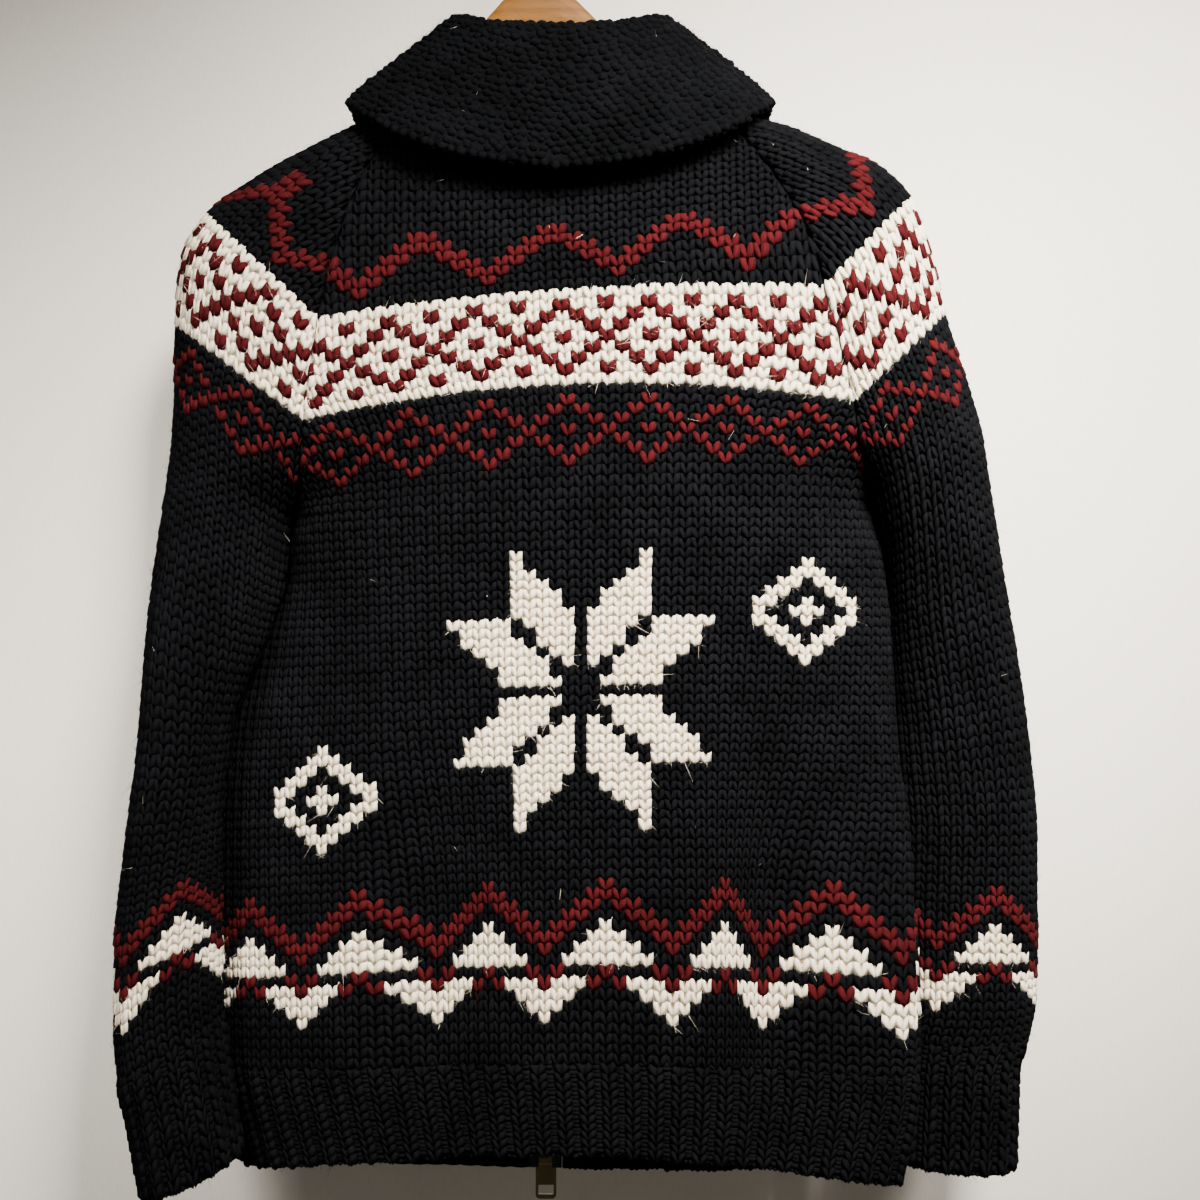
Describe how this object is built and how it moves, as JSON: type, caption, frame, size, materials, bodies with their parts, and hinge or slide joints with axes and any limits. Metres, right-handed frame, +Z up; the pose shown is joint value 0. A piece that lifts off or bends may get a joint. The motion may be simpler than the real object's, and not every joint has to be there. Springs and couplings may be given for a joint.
{
  "type": "cowichan cardigan on a hanger",
  "caption": "Chunky knitted raglan cardigan with shawl collar, rib hem and cuffs and a two-way zip, hanging on a wooden hanger, seen from its patterned back.",
  "frame": {"origin": "inner top of the hanger's hook, where a rail bears", "axes": "+Z up; the garment's back faces -Y and its zip faces +Y; +X is to the right when the back is seen"},
  "size_m": [0.5179, 0.1393, 0.7901],
  "materials": {
    "yarn_black": "matte bulky wool knit with cream and dark red pattern bands",
    "yarn_rib": "matte bulky wool rib",
    "yarn_collar": "matte bulky wool moss stitch",
    "zip_cloth": "woven zip tape",
    "antique_brass": "antique, worn",
    "hanger_wood": "honey satin varnish",
    "hook_steel": "polished"
  },
  "bodies": {
    "garment": {"back": "yarn_black", "front_left": "yarn_black", "front_right": "yarn_black", "sleeve_left": "yarn_black", "sleeve_right": "yarn_black", "hem_back": "yarn_rib", "hem_front_left": "yarn_rib", "hem_front_right": "yarn_rib", "cuff_left": "yarn_rib", "cuff_right": "yarn_rib", "collar": "yarn_collar", "zip_tape_left": "zip_cloth", "zip_tape_right": "zip_cloth", "zip_chain": "antique_brass", "slider_top": "antique_brass", "slider_bottom": "antique_brass", "hanger": "hanger_wood", "hanger_hook": "hook_steel"},
    "top_pull": {"pull_tab_top": "antique_brass"},
    "bottom_pull": {"pull_tab_bottom": "antique_brass"}
  },
  "joints": [
    {"name": "top_pull_hinge", "type": "hinge", "parent": "garment", "child": "top_pull", "pos_m": [0.01199, 0.05564, -0.21158], "axis": [1, 0, 0], "range_deg": [0, 160]},
    {"name": "bottom_pull_hinge", "type": "hinge", "parent": "garment", "child": "bottom_pull", "pos_m": [0.00101, 0.04807, -0.75688], "axis": [1, 0, 0], "range_deg": [0, 160]}
  ]
}
